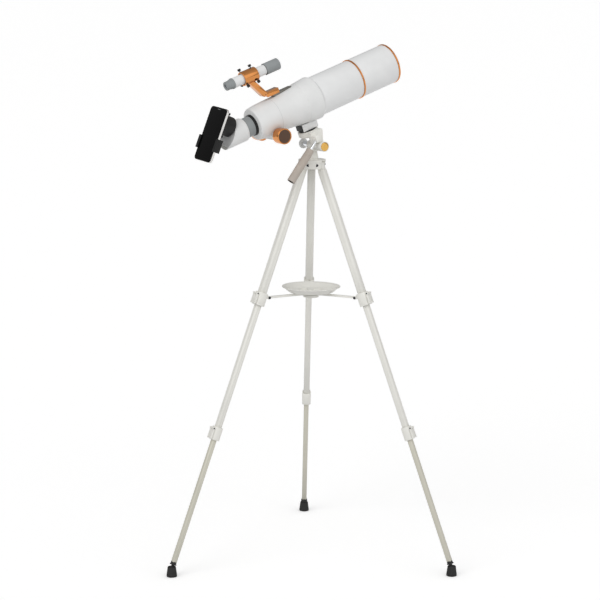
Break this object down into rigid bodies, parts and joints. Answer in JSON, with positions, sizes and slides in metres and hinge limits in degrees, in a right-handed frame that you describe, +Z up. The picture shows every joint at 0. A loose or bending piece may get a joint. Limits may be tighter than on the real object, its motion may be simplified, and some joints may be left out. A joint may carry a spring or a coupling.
{
  "type": "telescope on tripod",
  "caption": "Refracting telescope with finder, slanted diagonal and phone holder, on a pan and tilt head and a folding three-leg tripod with a tray.",
  "frame": {"origin": "centre of the footprint on the floor under the whole object", "axes": "+Z up, +X the way the tube points in plan, +Y to its left"},
  "size_m": [0.6719, 0.7384, 1.3264],
  "materials": {
    "leg_paint": "satin",
    "leg_plastic": "satin",
    "foot_rubber": "matte",
    "gold": "polished",
    "chrome": "polished",
    "grip": "satin, finely ribbed",
    "tube_paint": "satin",
    "tube_plastic": "satin",
    "copper": "polished rose gold plating",
    "steel": "brushed",
    "black_plastic": "satin",
    "grey_plastic": "satin",
    "lens_glass": "coated",
    "phone": "glossy glass front"
  },
  "bodies": {
    "crown": {"tripod_hub": "leg_plastic"},
    "leg_left": {"upper_leg_left": "leg_paint", "upper_clamp_left": "leg_plastic"},
    "upper_lever_left": {"upper_lever_left": "leg_plastic"},
    "middle_left": {"middle_leg_left": "leg_paint", "lower_clamp_left": "leg_plastic"},
    "lower_lever_left": {"lower_lever_left": "leg_plastic"},
    "lower_left": {"lower_leg_left": "leg_paint"},
    "foot_left": {"foot_left": "foot_rubber"},
    "arm_left": {"spreader_arm_left": "leg_paint"},
    "leg_right": {"upper_leg_right": "leg_paint", "upper_clamp_right": "leg_plastic"},
    "upper_lever_right": {"upper_lever_right": "leg_plastic"},
    "middle_right": {"middle_leg_right": "leg_paint", "lower_clamp_right": "leg_plastic"},
    "lower_lever_right": {"lower_lever_right": "leg_plastic"},
    "lower_right": {"lower_leg_right": "leg_paint"},
    "foot_right": {"foot_right": "foot_rubber"},
    "arm_right": {"spreader_arm_right": "leg_paint"},
    "leg_back": {"upper_leg_back": "leg_paint", "upper_clamp_back": "leg_plastic"},
    "upper_lever_back": {"upper_lever_back": "leg_plastic"},
    "middle_back": {"middle_leg_back": "leg_paint", "lower_clamp_back": "leg_plastic"},
    "lower_lever_back": {"lower_lever_back": "leg_plastic"},
    "lower_back": {"lower_leg_back": "leg_paint"},
    "foot_back": {"foot_back": "foot_rubber"},
    "arm_back": {"spreader_arm_back": "leg_paint"},
    "spreader": {"spreader_hub": "leg_plastic"},
    "tray": {"tray": "leg_plastic"},
    "pan": {"pan_base": "leg_plastic"},
    "tilt": {"tilt_body": "leg_plastic", "platform_pad": "foot_rubber", "tilt_axle": "gold", "saddle": "tube_plastic", "rear_shell": "tube_plastic", "main_tube": "tube_paint", "joint_ring": "copper", "dew_shield": "tube_paint", "front_ring": "copper", "objective_lens": "lens_glass", "finder_rail": "steel"},
    "lock_knob": {"tilt_lock_knob": "leg_plastic"},
    "handle": {"handle_rod": "chrome", "handle_grip": "grip"},
    "focuser": {"draw_tube": "black_plastic", "draw_ring": "grey_plastic"},
    "focus_wheel": {"focus_shaft": "steel", "focus_knob_left": "copper", "focus_knob_right": "copper"},
    "diagonal": {"diagonal_housing": "tube_plastic", "diagonal_prism": "lens_glass", "eyepiece": "black_plastic"},
    "adapter": {"adapter_frame": "black_plastic", "phone": "phone"},
    "jaw": {"adapter_jaw": "black_plastic"},
    "finder": {"finder_bracket": "copper", "finder_tube": "tube_paint", "finder_hood": "grey_plastic"},
    "finder_eye": {"finder_eyepiece": "grey_plastic"}
  },
  "joints": [
    {"name": "fold_left", "type": "hinge", "parent": "crown", "child": "leg_left", "pos_m": [0.063, 0, 1.026], "axis": [0, -1, 0], "range_deg": [0, 17]},
    {"name": "middle_slide_left", "type": "slide", "parent": "leg_left", "child": "middle_left", "axis": [0.3584, 0, 0.9336], "range_m": [0, 0.28]},
    {"name": "lower_slide_left", "type": "slide", "parent": "middle_left", "child": "lower_left", "axis": [0.3584, 0, 0.9336], "range_m": [0, 0.28]},
    {"name": "upper_lever_hinge_left", "type": "hinge", "parent": "leg_left", "child": "upper_lever_left", "pos_m": [-0.07768, 0, 0.70724], "axis": [0, 1, 0], "range_deg": [0, 80]},
    {"name": "lower_lever_hinge_left", "type": "hinge", "parent": "middle_left", "child": "lower_lever_left", "pos_m": [-0.20446, 0, 0.37137], "axis": [0, 1, 0], "range_deg": [0, 80]},
    {"name": "ankle_left", "type": "hinge", "parent": "lower_left", "child": "foot_left", "pos_m": [-0.32296, 0, 0.02053], "axis": [0, -1, 0], "range_deg": [-21, 2]},
    {"name": "arm_hinge_left", "type": "hinge", "parent": "leg_left", "child": "arm_left", "pos_m": [-0.042, 0, 0.69248], "axis": [0, -1, 0], "range_deg": [0, 73.01]},
    {"name": "fold_right", "type": "hinge", "parent": "crown", "child": "leg_right", "pos_m": [0.099, -0.02079, 1.026], "axis": [0.866, 0.5, 0], "range_deg": [0, 17]},
    {"name": "middle_slide_right", "type": "slide", "parent": "leg_right", "child": "middle_right", "axis": [-0.1792, 0.3104, 0.9336], "range_m": [0, 0.28]},
    {"name": "lower_slide_right", "type": "slide", "parent": "middle_right", "child": "lower_right", "axis": [-0.1792, 0.3104, 0.9336], "range_m": [0, 0.28]},
    {"name": "upper_lever_hinge_right", "type": "hinge", "parent": "leg_right", "child": "upper_lever_right", "pos_m": [0.16934, -0.14261, 0.70724], "axis": [-0.866, -0.5, 0], "range_deg": [0, 80]},
    {"name": "lower_lever_hinge_right", "type": "hinge", "parent": "middle_right", "child": "lower_lever_right", "pos_m": [0.23273, -0.25242, 0.37137], "axis": [-0.866, -0.5, 0], "range_deg": [0, 80]},
    {"name": "ankle_right", "type": "hinge", "parent": "lower_right", "child": "foot_right", "pos_m": [0.29198, -0.35504, 0.02053], "axis": [0.866, 0.5, 0], "range_deg": [-21, 2]},
    {"name": "arm_hinge_right", "type": "hinge", "parent": "leg_right", "child": "arm_right", "pos_m": [0.1515, -0.11172, 0.69248], "axis": [0.866, 0.5, 0], "range_deg": [0, 73.01]},
    {"name": "fold_back", "type": "hinge", "parent": "crown", "child": "leg_back", "pos_m": [0.099, 0.02079, 1.026], "axis": [-0.866, 0.5, 0], "range_deg": [0, 17]},
    {"name": "middle_slide_back", "type": "slide", "parent": "leg_back", "child": "middle_back", "axis": [-0.1792, -0.3104, 0.9336], "range_m": [0, 0.28]},
    {"name": "lower_slide_back", "type": "slide", "parent": "middle_back", "child": "lower_back", "axis": [-0.1792, -0.3104, 0.9336], "range_m": [0, 0.28]},
    {"name": "upper_lever_hinge_back", "type": "hinge", "parent": "leg_back", "child": "upper_lever_back", "pos_m": [0.16934, 0.14261, 0.70724], "axis": [0.866, -0.5, 0], "range_deg": [0, 80]},
    {"name": "lower_lever_hinge_back", "type": "hinge", "parent": "middle_back", "child": "lower_lever_back", "pos_m": [0.23273, 0.25242, 0.37137], "axis": [0.866, -0.5, 0], "range_deg": [0, 80]},
    {"name": "ankle_back", "type": "hinge", "parent": "lower_back", "child": "foot_back", "pos_m": [0.29198, 0.35504, 0.02053], "axis": [-0.866, 0.5, 0], "range_deg": [-21, 2]},
    {"name": "arm_hinge_back", "type": "hinge", "parent": "leg_back", "child": "arm_back", "pos_m": [0.1515, 0.11172, 0.69248], "axis": [-0.866, 0.5, 0], "range_deg": [0, 73.01]},
    {"name": "spreader_slide", "type": "slide", "parent": "crown", "child": "spreader", "axis": [0, 0, 1], "range_m": [0, 0.0801]},
    {"name": "tray_removal", "type": "slide", "parent": "crown", "child": "tray", "axis": [-0.4436, -0.7684, 0.4614], "range_m": [0, 0.282]},
    {"name": "pan", "type": "hinge", "parent": "crown", "child": "pan", "pos_m": [0.087, 0, 1.06], "axis": [0, 0, 1], "continuous": true},
    {"name": "tilt", "type": "hinge", "parent": "pan", "child": "tilt", "pos_m": [0.087, 0, 1.076], "axis": [0, -1, 0], "range_deg": [-45, 35]},
    {"name": "tilt_lock", "type": "hinge", "parent": "tilt", "child": "lock_knob", "pos_m": [0.087, 0.045, 1.076], "axis": [0, 1, 0], "range_deg": [0, 180]},
    {"name": "handle_twist", "type": "hinge", "parent": "tilt", "child": "handle", "pos_m": [0.07134, -0.048, 1.09338], "axis": [-0.6004, 0, -0.7997], "range_deg": [0, 180]},
    {"name": "focus_slide", "type": "slide", "parent": "tilt", "child": "focuser", "axis": [-0.9432, 0, -0.3322], "range_m": [0, 0.03]},
    {"name": "focus_knob", "type": "hinge", "parent": "tilt", "child": "focus_wheel", "pos_m": [-0.03552, 0, 1.10781], "axis": [0, -1, 0], "range_deg": [0, 191.1]},
    {"name": "diagonal_turn", "type": "hinge", "parent": "focuser", "child": "diagonal", "pos_m": [-0.12682, 0, 1.12019], "axis": [0.9432, 0, 0.3322], "range_deg": [-90, 90]},
    {"name": "adapter_turn", "type": "hinge", "parent": "diagonal", "child": "adapter", "pos_m": [-0.12682, 0, 1.12019], "axis": [-0.9297, -0.1555, 0.3338], "range_deg": [-90, 90]},
    {"name": "jaw_slide", "type": "slide", "parent": "adapter", "child": "jaw", "axis": [0.1296, -0.9866, -0.0987], "range_m": [0, 0.02], "stiffness_N_per_m": 150, "springref_m": -0.02},
    {"name": "finder_slide", "type": "slide", "parent": "tilt", "child": "finder", "axis": [0.9432, 0, 0.3322], "range_m": [0, 0.028]},
    {"name": "finder_focus", "type": "hinge", "parent": "finder", "child": "finder_eye", "pos_m": [-0.15281, 0, 1.23614], "axis": [0.9432, 0, 0.3322], "range_deg": [-180, 180]}
  ],
  "couplings": [
    {"joint": "arm_hinge_left", "follows": "fold_left", "ratio": 4.2941},
    {"joint": "arm_hinge_right", "follows": "fold_left", "ratio": 4.2941},
    {"joint": "fold_right", "follows": "fold_left", "ratio": 1},
    {"joint": "arm_hinge_back", "follows": "fold_left", "ratio": 4.2941},
    {"joint": "fold_back", "follows": "fold_left", "ratio": 1},
    {"joint": "spreader_slide", "follows": "fold_left", "m_per_rad": 0.26963},
    {"joint": "tray_removal", "follows": "fold_left", "m_per_rad": 0.94969},
    {"joint": "focus_knob", "follows": "focus_slide", "rad_per_m": 111.11}
  ]
}
